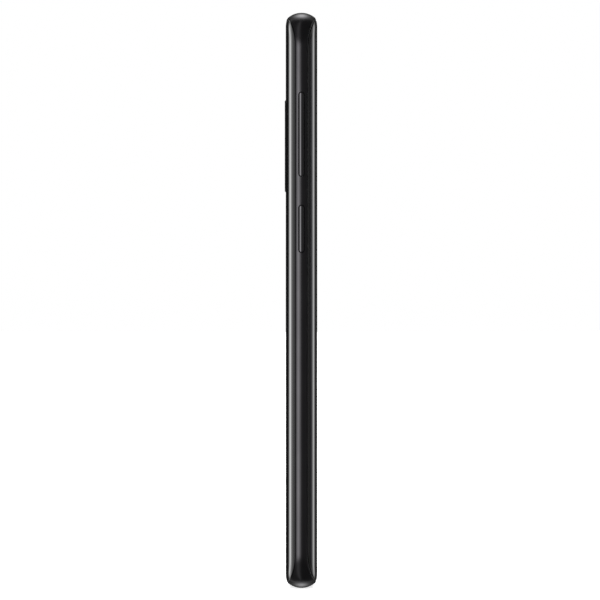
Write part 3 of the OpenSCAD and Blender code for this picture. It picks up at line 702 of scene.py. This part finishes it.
# %% [markdown]
# ## The rest of the frame
# Behind the screen the frame is a thin floor that carries everything, with eight bosses for the cover screws.
# It is die-cast, so it is duller than the polished band. It is made as a separate solid that stops just short
# of the band's inner wall.

# %% Floor and bosses
CAST_METAL = anodised_aluminium("cast_floor_bead_blasted", "#4C4C50", "#57575B", rough=0.42)
FLOOR_Y, BOSS_TOP = (-2.87, -2.36), 1.75
BOSS_R, BOSS_EDGE, THREAD_R = 1.7, 0.1, 0.6
BOSSES = [(sx * 30.4, z) for sx in (-1, 1) for z in (141.0, 108.5, 22.0, 12.5)]
# Holes through the floor: three round ones behind the clear spots of the front glass, then an oblong one
# behind the earpiece slot and a small one near the bottom
EYE_HOLES, EYE_Z = ((19.0, 2.2), (26.0, 2.2), (-19.0, 1.4)), 152.4
FLOOR_WINDOWS = ((14.0, 2.7, 0.3, 0.0, 153.35), (3.4, 3.0, 0.2, -8.0, 16.5))

cast_floor = framed("frame_floor", 69.4, 151.4, 5.0, FLOOR_Y[0], FLOOR_Y[1], 0.05, z=BODY_H / 2)
floor_cutters = [prism_y(disc(radius, 24), -4.0, 0.0, x, EYE_Z) for x, radius in EYE_HOLES]
floor_cutters += [prism_y(rounded(w, h, corner), -4.0, 0.0, x, z) for w, h, corner, x, z in FLOOR_WINDOWS]
cut_away(cast_floor, floor_cutters)
BOSS_PROFILE = [(BOSS_R, FLOOR_Y[1] + 0.01), (BOSS_R, BOSS_TOP - BOSS_EDGE), (BOSS_R - BOSS_EDGE, BOSS_TOP),
                (THREAD_R, BOSS_TOP), (THREAD_R - 0.05, BOSS_TOP - 1.2)]
bosses = [turned_y("boss", BOSS_PROFILE, x, z, steps=24) for x, z in BOSSES]
join_pieces(cast_floor, *bosses)
mount(cast_floor, "phone", CAST_METAL, "frame")

# %% [markdown]
# ## Lenses
# A lens is a black barrel with stepped rings that lead the eye down to a curved front element. The barrel is
# turned about its own axis. The element is a shallow cap whose colour turns blue to violet at a slant: a painted
# sheen in place of the coloured reflection of its coating.
# A clear disc closes each opening of the camera glass, so that the barrels sit behind glass as they should.

# %% Barrels, elements and clear discs
def lens_painted_sheen(name):
    # Polished optical glass with an anti-reflection coating: almost black, with a painted blue-violet sheen at a
    # slant, its base colour mixed by how far the face turns from the view
    material, tree, element = new_finish(name, roughness=0.03, ior=1.5, specular_ior_level=0.15)
    # Painted sheen: the base colour turns violet as the surface turns away from the view
    facing = add_node(tree, "ShaderNodeLayerWeight", {"Blend": 0.35})
    mix = add_node(tree, "ShaderNodeMix", {"Factor": facing.outputs["Facing"], "A": srgb("#05070F"),
                                           "B": srgb("#2A1F4A")}, data_type="RGBA")
    tree.links.new(mix.outputs["Result"], element.inputs["Base Color"])
    return material


COATED_INDEX = 1.16
# Steps of a barrel: its radius as a share of the whole, and how far it lies below the rim, in millimetres
BARREL_STEPS = ((0.86, 0.0), (0.83, 0.1), (0.76, 0.12), (0.73, 0.26), (0.64, 0.28), (0.6, 0.46), (0.5, 0.5),
                (0.48, 0.7))
BARREL_FOOT, BARREL_TOP, BARREL_EDGE = -0.5, 3.6, 0.08
CAP_FOOT, CAP_RIM, CAP_RISE, CAP_STEPS = 0.68, 0.62, 0.24, 9
PORT_FOOT, PORT_TOP, PORT_EDGE = 4.02, 0.08, 0.03


def clear_glass(name, rough=0.0, shade_code="#8E9296"):
    # Toughened glass with an anti-reflection coating: a faint reflection over the dark parts behind it.
    # The coating takes most of the mirror image away, so the pane has the index that reflects as little.
    material, tree, pane = new_finish(name, ior=COATED_INDEX, transmission_weight=1.0)
    tint(tree, pane, shade_code, "#A4A8AC", scale=40.0)
    tree.links.new(grain(tree, 60.0, rough, rough + 0.02), pane.inputs["Roughness"])
    return material


BARREL_BLACK = moulded_plastic("lens_barrel_black_anodised", "#0B0B0C", "#141416", rough=0.35)
LENS_PAINTED_SHEEN = lens_painted_sheen("optical_glass_painted_sheen")
CLEAR_GLASS = clear_glass("clear_toughened_glass")


def dome_profile(radius, rim, rise, steps):
    """A shallow dome as (radius, y), from its rim almost to its middle."""
    turns = [math.pi / 2 * i / steps for i in range(steps)]
    return [(radius * math.cos(turn), rim + rise * math.sin(turn)) for turn in turns]


def barrel(name, body, radius, z):
    profile = [(radius, BARREL_FOOT), (radius, BARREL_TOP - BARREL_EDGE), (radius - BARREL_EDGE, BARREL_TOP)]
    profile += [(share * radius, BARREL_TOP - below) for share, below in BARREL_STEPS]
    mount(turned_y(name + "_barrel", profile, 0.0, z, 64), body, BARREL_BLACK, name)
    cap = dome_profile(0.5 * radius, BARREL_TOP - CAP_RIM, CAP_RISE, CAP_STEPS)
    foot = [(0.5 * radius, BARREL_TOP - CAP_FOOT)]
    mount(turned_y(name + "_element", foot + cap, 0.0, z, 64), body, LENS_PAINTED_SHEEN)


barrel("wide_lens", "wide_lens", 2.9, WIDE_Z)
barrel("tele_lens", "tele_lens", 2.4, TELE_Z)
for name, radius, z in (("wide_port", 3.03, WIDE_Z), ("tele_port", 2.53, TELE_Z)):
    top = island_top - PORT_TOP
    profile = [(radius, PORT_FOOT), (radius, top - PORT_EDGE), (radius - PORT_EDGE, top)]
    mount(turned_y(name, profile, 0.0, z, 64), "phone", CLEAR_GLASS)

# %% [markdown]
# The front glass has a slot for the earpiece and three small clear spots. A spot is a hole in the black print,
# so each is cut through the glass here and closed again with its own small window and what lies behind it.

# %% Openings in the front glass
FRONT_EYES = (("front_camera", 19.0, 1.75), ("iris_camera", 26.0, 1.6), ("light_sensor", -19.0, 1.0))
SLOT_Z, SLOT_L, SLOT_W = 153.5, 13.2, 1.2
FRONT_CUT = (-6.0, -2.0)
PANE_T, PANE_EDGE = 0.4, 0.03

front_cutters = [prism_y(stadium(SLOT_L, SLOT_W), *FRONT_CUT, 0.0, SLOT_Z)]
front_cutters += [prism_y(disc(radius, 40), *FRONT_CUT, x, EYE_Z) for _, x, radius in FRONT_EYES]
cut_away(front_glass, front_cutters)
mount(front_glass, "phone", GLASS_FRONT, "front_glass")
SMOKED_GLASS = clear_glass("smoked_sensor_glass", 0.05, "#5A4A66")
for name, x, radius in FRONT_EYES:
    face = -bent_height(x, -1)
    edge = radius - 0.02
    pane = [(edge, face + PANE_T), (edge, face + 0.02 + PANE_EDGE), (edge - PANE_EDGE, face + 0.02)]
    iris = [(radius, face + 0.62), (radius, face + 0.5), (0.62 * radius, face + 0.56),
            (0.58 * radius, face + 0.6)]
    eye = dome_profile(0.56 * radius, face + 0.6, -0.12, 6)
    glass = SMOKED_GLASS if name == "light_sensor" else CLEAR_GLASS
    mount(turned_y(name + "_window", pane, x, EYE_Z, 40), "phone", glass)
    mount(turned_y(name + "_iris", iris, x, EYE_Z, 40), "phone", BARREL_BLACK)
    mount(turned_y(name + "_eye", eye, x, EYE_Z, 40), "phone", LENS_PAINTED_SHEEN)

# %% [markdown]
# ## Sockets
# The USB tongue carries a row of gold contacts on each face. The audio jack has a moulded collar whose mouth
# is lined with a thin plated ring.

# %% Contacts and mouth ring
def plated_metal(name, dark, light, rough=0.25, stretch=(1.0, 1.0, 1.0)):
    # Rolled or stamped sheet with a thin plating: bright, with faint streaks along the rolling direction
    material, tree, metal = new_finish(name, metallic=1.0)
    tint(tree, metal, dark, light, scale=220.0, stretch=stretch)
    tree.links.new(grain(tree, 500.0, rough - 0.05, rough + 0.08, stretch=stretch), metal.inputs["Roughness"])
    roughen(tree, metal, scale=2500.0, height=1e-6, stretch=stretch)
    return material


GOLD_PLATING = plated_metal("gold_plated_contact", "#C79A4A", "#E0B566", rough=0.22)
NICKEL_PLATING = plated_metal("nickel_plated_ring", "#8E8F93", "#A9AAAE", rough=0.2)
CONTACTS, CONTACT_PITCH, CONTACT_Z = 12, 0.5, 3.6
CONTACT, TONGUE_FACE = (0.26, 0.05, 3.4), 0.355
MOUTH_PROFILE = ((1.83, 0.75), (2.42, 0.75), (2.42, 0.45), (2.3, 0.38), (1.95, 0.38), (1.83, 0.48))

first_x = -CONTACT_PITCH * (CONTACTS - 1) / 2
contacts = [block("contact", (first_x + CONTACT_PITCH * i, side * TONGUE_FACE, CONTACT_Z), CONTACT, edge=0.01)
            for i in range(CONTACTS) for side in (-1, 1)]
usb_contacts = join_pieces(*contacts)
usb_contacts.name = "usb_contacts"
mount(usb_contacts, "phone", GOLD_PLATING)
mouth_rings = [along_z(disc(radius), z, JACK_X) for radius, z in MOUTH_PROFILE]
mount(loft("jack_mouth_ring", mouth_rings, closed=True), "phone", NICKEL_PLATING)

# %% [markdown]
# ## Finishes for the pieces that come from the CAD model
# The inner pieces keep their exact shape and get real finishes. They show when the glass is off, or through
# a socket, a slot or the mesh.

# %% Inner finishes
def printed_board(name):
    # Fibreglass with green solder mask over etched copper: tracks and pads show as slightly raised lines
    material, tree, mask = new_finish(name, roughness=0.35, ior=1.5)
    place = add_node(tree, "ShaderNodeTexCoord")
    turn = add_node(tree, "ShaderNodeMapping", {"Vector": place.outputs["Object"],
                                                "Rotation": (math.pi / 2, 0.0, 0.0)})
    tracks = add_node(tree, "ShaderNodeTexBrick", {"Vector": turn, "Scale": 420.0, "Mortar Size": 0.012,
                                                   "Color1": srgb("#1B5A39"), "Color2": srgb("#206640"),
                                                   "Mortar": srgb("#3F8F5C")})
    tree.links.new(tracks.outputs["Color"], mask.inputs["Base Color"])
    bump = add_node(tree, "ShaderNodeBump", {"Height": tracks.outputs["Fac"], "Distance": 2e-5})
    tree.links.new(bump.outputs["Normal"], mask.inputs["Normal"])
    return material


def gauze_with_painted_shade(name, pitch):
    # Fine steel gauze. The weave is drawn coarser than a real one, so that its openings still show. The openings
    # are real, and their near black is painted shade for the dark space behind them
    material, tree, wire = new_finish(name, metallic=1.0, roughness=0.4)
    place = add_node(tree, "ShaderNodeTexCoord")
    cells = add_node(tree, "ShaderNodeTexVoronoi", {"Vector": place.outputs["Object"],
                                                    "Scale": 1 / (pitch * MM), "Randomness": 0.0})
    hole = add_node(tree, "ShaderNodeMapRange", {"Value": cells.outputs["Distance"], "From Min": 0.28,
                                                 "From Max": 0.4})
    # Painted shade: the openings are near black, as the shaded space behind the gauze would look
    mix = add_node(tree, "ShaderNodeMix", {"Factor": hole, "A": srgb("#050505"), "B": srgb("#77777C")},
                   data_type="RGBA")
    tree.links.new(mix.outputs["Result"], wire.inputs["Base Color"])
    return material


def lamp_and_pulse_sensor(name):
    # One small board: the upper half is a flash with yellow phosphor, the lower half a sensor in black epoxy
    material, tree, face = new_finish(name, roughness=0.4, ior=1.49)
    place = add_node(tree, "ShaderNodeTexCoord")
    axes = add_node(tree, "ShaderNodeSeparateXYZ", {"Vector": place.outputs["Object"]})
    upper = add_node(tree, "ShaderNodeMapRange", {"Value": axes.outputs["Z"], "From Min": LAMP_FROM * MM,
                                                  "From Max": (LAMP_FROM + 0.1) * MM})
    yellow = add_node(tree, "ShaderNodeMix", {"Factor": grain(tree, 900.0, 0.0, 1.0), "A": srgb("#B9A24E"),
                                              "B": srgb("#D8C67E")}, data_type="RGBA")
    mix = add_node(tree, "ShaderNodeMix", {"Factor": upper, "A": srgb("#0D0D10"),
                                           "B": yellow.outputs["Result"]}, data_type="RGBA")
    tree.links.new(mix.outputs["Result"], face.inputs["Base Color"])
    return material


LAMP_FROM = FLASH_Z + 0.6
TINNED_STEEL = plated_metal("tinned_spring_steel", "#9A9CA2", "#B4B6BB", stretch=(1.0, 1.0, 0.1))
COPPER_FOIL = plated_metal("rolled_copper_foil", "#A9663A", "#C47F50", rough=0.3, stretch=(1.0, 1.0, 0.1))
MAGNET_WIRE = plated_metal("enamelled_copper_wire", "#9C5A2E", "#B8723F", rough=0.28)
STAINLESS = plated_metal("stamped_stainless_dome", "#B8B8BC", "#CFCFD2", rough=0.2)
TUNGSTEN = plated_metal("sintered_tungsten", "#5D5F64", "#707277", rough=0.45)
BOARD = printed_board("solder_mask_on_fibreglass")
GAUZE_PAINTED_SHADE = gauze_with_painted_shade("steel_gauze_painted_shade_openings", 0.3)
NYLON = moulded_plastic("glass_filled_nylon", "#1C1C1F", "#28282B", rough=0.5)
SOCKET_PLASTIC = moulded_plastic("liquid_crystal_polymer", "#0E0E0F", "#171718", rough=0.38)
CHIP_EPOXY = moulded_plastic("chip_epoxy_package", "#141416", "#1E1E21", rough=0.55)
POLYIMIDE = moulded_plastic("polyimide_film", "#8A5E1E", "#B07D2C", rough=0.25)
SILICONE_RED = moulded_plastic("red_silicone_rubber", "#6E1F1B", "#84302A", rough=0.6)
SILICONE_GREY = moulded_plastic("grey_silicone_rubber", "#2E2E31", "#3A3A3E", rough=0.6)
POUCH = moulded_plastic("laminated_pouch_wrap", "#232326", "#303034", rough=0.3)
FERRITE = moulded_plastic("sintered_ferrite_sheet", "#26282C", "#34373C", rough=0.65)
FOAM_TAPE = moulded_plastic("acrylic_foam_tape", "#0F0F11", "#19191B", rough=0.7)
SCREEN_FILM = moulded_plastic("screen_black_backing_film", "#060607", "#0C0C0E", rough=0.2)
PHOSPHOR = lamp_and_pulse_sensor("led_phosphor_beside_dark_sensor")
COVERLAY = moulded_plastic("black_coverlay_film", "#0E0E10", "#18181B", rough=0.4)
DIFFUSER = clear_glass("flash_diffuser_acrylic", 0.12, "#D8D8D4")

FINISH_OF = {
    BOARD: ["main_board", "sub_board"], GAUZE_PAINTED_SHADE: ["speaker_mesh", "earpiece_mesh"],
    TINNED_STEEL: ["shield_cans", "card_socket", "usb_shell", "haptic_case", "screws", "microphones",
                   "loudspeaker"],
    COPPER_FOIL: ["heat_spreader", "heat_pipe"], MAGNET_WIRE: ["charging_coil"], TUNGSTEN: ["haptic_mass"],
    STAINLESS: ["volume_domes", "function_dome", "power_dome"], CHIP_EPOXY: ["processor"],
    NYLON: ["upper_bracket", "lower_bracket", "speaker_box", "earpiece", "wide_camera", "tele_camera"],
    SOCKET_PLASTIC: ["headphone_jack", "usb_tongue", "front_camera", "iris_camera", "light_sensor"],
    POLYIMIDE: ["board_flex", "display_flex", "battery_flex"], COVERLAY: ["key_switches"],
    SILICONE_RED: ["tray_seal"], SILICONE_GREY: ["usb_seal"], POUCH: ["battery"], FERRITE: ["coil_ferrite"],
    FOAM_TAPE: ["front_adhesive", "back_adhesive"], SCREEN_FILM: ["display_panel"], PHOSPHOR: ["flash_module"],
    DIFFUSER: ["flash_window"], FRAME_METAL: ["sim_tray"],
}
for material, names in FINISH_OF.items():
    for name in names:
        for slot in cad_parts[name].material_slots:
            slot.material = material
print("finished nodes:", sum(len(names) for names in FINISH_OF.values()))

# %% [markdown]
# ## The camera
# It looks at the volume keys' side from a metre and a half away through a long lens, so that perspective is
# slight and both glasses are seen from their edges.

# %% Camera
LENS, SENSOR, CAMERA_DISTANCE = 329.3, 36.0, 1.5
CAMERA_Y, CAMERA_LIFT = 0.41, 0.1
scene = bpy.context.scene
scene.view_settings.view_transform = "Standard"
camera = bpy.data.objects.new("camera", bpy.data.cameras.new("camera"))
scene.collection.objects.link(camera)
scene.camera = camera
camera.data.lens, camera.data.sensor_width, camera.data.clip_end = LENS, SENSOR, 50.0
camera.location = (-CAMERA_DISTANCE - BODY_W / 2 * MM, CAMERA_Y * MM, (BODY_H / 2 + CAMERA_LIFT) * MM)
camera.rotation_euler = (math.pi / 2, 0.0, -math.pi / 2)
print("camera at", [round(v, 4) for v in camera.location])

# %% [markdown]
# ## The light tent
# A glossy black phone shows nothing but its surroundings, so the surroundings are what is lit. The tent is a
# ring of tall soft boxes: each pair below is a bearing in degrees, turning from +X towards +Y, and how bright
# the tent is there. The ring fades above and below the horizon. Two more boxes lean over the two ends. The
# camera itself sees plain white behind the phone.

# %% Ring of soft boxes
TENT = [(-180, 0.52), (-173, 0.44), (-157, 0.31), (-124, 0.27), (-95, 0.22), (-66, 0.21), (-59, 0.33),
        (-54, 0.59), (-49, 1.8), (-43.5, 3.6), (-38, 0.6), (-31, 0.05), (-16, 0.02), (0, 0.02),
        (27, 0.01), (36, 0.06), (42, 1.9), (45.5, 6.4), (51.5, 2.8), (58, 0.95), (66, 0.66),
        (85, 0.75), (110, 1.1), (124, 2.3), (137, 5.1), (149, 4.4), (161, 2.7), (173, 1.15),
        (180, 0.52)]
TENT_PEAK = 6.4
FADE_FROM, FADE_TO, FADE_SHARE, FILL = 0.02, 0.27, 0.88, 0.13
LEAN, LEAN_POWER, OVER_TOP, UNDER_BOTTOM = math.radians(57), 26.0, 5.4, 3.4


def ring_of_boxes(sky, axes):
    """How bright the ring is towards each bearing."""
    bearing = add_node(sky, "ShaderNodeMath", {0: axes.outputs["Y"], 1: axes.outputs["X"]}, operation="ARCTAN2")
    share = add_node(sky, "ShaderNodeMapRange", {"Value": bearing, "From Min": -math.pi, "From Max": math.pi})
    ring = add_node(sky, "ShaderNodeValToRGB", {"Fac": share})
    ring.color_ramp.interpolation = "EASE"
    stops = ring.color_ramp.elements
    while len(stops) < len(TENT):
        stops.new(0.5)
    for stop, (degrees, level) in zip(stops, TENT):
        stop.position = (degrees + 180) / 360
        stop.color = (level / TENT_PEAK,) * 3 + (1.0,)
    return add_node(sky, "ShaderNodeMath", {0: ring, 1: TENT_PEAK}, operation="MULTIPLY")


def leaning_box(sky, way, elevation, level):
    """A soft round box over one end."""
    aim = (math.cos(elevation), 0.0, math.sin(elevation))
    toward = add_node(sky, "ShaderNodeVectorMath", {0: way.outputs["Generated"], 1: aim},
                      operation="DOT_PRODUCT")
    front = add_node(sky, "ShaderNodeMath", {0: toward.outputs["Value"], 1: 0.0}, operation="MAXIMUM")
    spot = add_node(sky, "ShaderNodeMath", {0: front, 1: LEAN_POWER}, operation="POWER")
    return add_node(sky, "ShaderNodeMath", {0: spot, 1: level}, operation="MULTIPLY")


def light_tent():
    world = bpy.data.worlds.new("light_tent")
    scene.world = world
    world.use_nodes = True
    sky = world.node_tree
    sky.nodes.clear()
    way = add_node(sky, "ShaderNodeTexCoord")
    axes = add_node(sky, "ShaderNodeSeparateXYZ", {"Vector": way.outputs["Generated"]})
    rise = add_node(sky, "ShaderNodeMath", {0: axes.outputs["Z"]}, operation="ABSOLUTE")
    above = add_node(sky, "ShaderNodeMapRange", {"Value": rise, "From Min": FADE_FROM, "From Max": FADE_TO,
                                                 "To Max": FADE_SHARE}, interpolation_type="SMOOTHSTEP")
    left = add_node(sky, "ShaderNodeMath", {0: 1.0, 1: above}, operation="SUBTRACT")
    walls = add_node(sky, "ShaderNodeMath", {0: ring_of_boxes(sky, axes), 1: left}, operation="MULTIPLY")
    fill = add_node(sky, "ShaderNodeMath", {0: above, 1: FILL}, operation="MULTIPLY")
    ends = add_node(sky, "ShaderNodeMath", {0: leaning_box(sky, way, LEAN, OVER_TOP),
                                            1: leaning_box(sky, way, -LEAN, UNDER_BOTTOM)})
    boxes = add_node(sky, "ShaderNodeMath", {0: walls, 1: ends})
    strength = add_node(sky, "ShaderNodeMath", {0: boxes, 1: fill})
    tent = add_node(sky, "ShaderNodeBackground", {"Strength": strength})
    paper = add_node(sky, "ShaderNodeBackground", {"Color": (1.0, 1.0, 1.0, 1.0)})
    seen = add_node(sky, "ShaderNodeLightPath")
    both = add_node(sky, "ShaderNodeMixShader", {0: seen.outputs["Is Camera Ray"], 1: tent, 2: paper})
    add_node(sky, "ShaderNodeOutputWorld", {"Surface": both})


light_tent()
print("tent:", len(TENT), "stops, brightest", TENT_PEAK)

# %% [markdown]
# ## Floor and overhead lamp
# The floor is a very large sheet of white paper with a faint glow of its own, so that it stays white far away.
# The lamp overhead gives the soft contact shadow. Neither is seen in the phone's reflections, which would
# otherwise lose their dark parts.

# %% Paper and lamp
FLOOR_HALF, LAMP_POWER, LAMP_SPREAD = 12000.0, 2.6, math.radians(70)

overhead = bpy.data.lights.new("overhead_sky", "SUN")
overhead.energy, overhead.angle = LAMP_POWER, LAMP_SPREAD
lamp = bpy.data.objects.new("overhead_sky", overhead)
lamp.visible_glossy = False
scene.collection.objects.link(lamp)

bm = bmesh.new()
bmesh.ops.create_grid(bm, x_segments=1, y_segments=1, size=FLOOR_HALF)
floor = finish_mesh("studio_floor", bm)
paper_white = new_finish("matt_white_paper", base_color=srgb("#F4F4F4"), roughness=0.9,
                         emission_color=(1.0, 1.0, 1.0, 1.0), emission_strength=0.8)[0]
floor.data.materials.append(paper_white)
floor.visible_glossy = False
print("floor:", round(2 * FLOOR_HALF * MM), "m across")
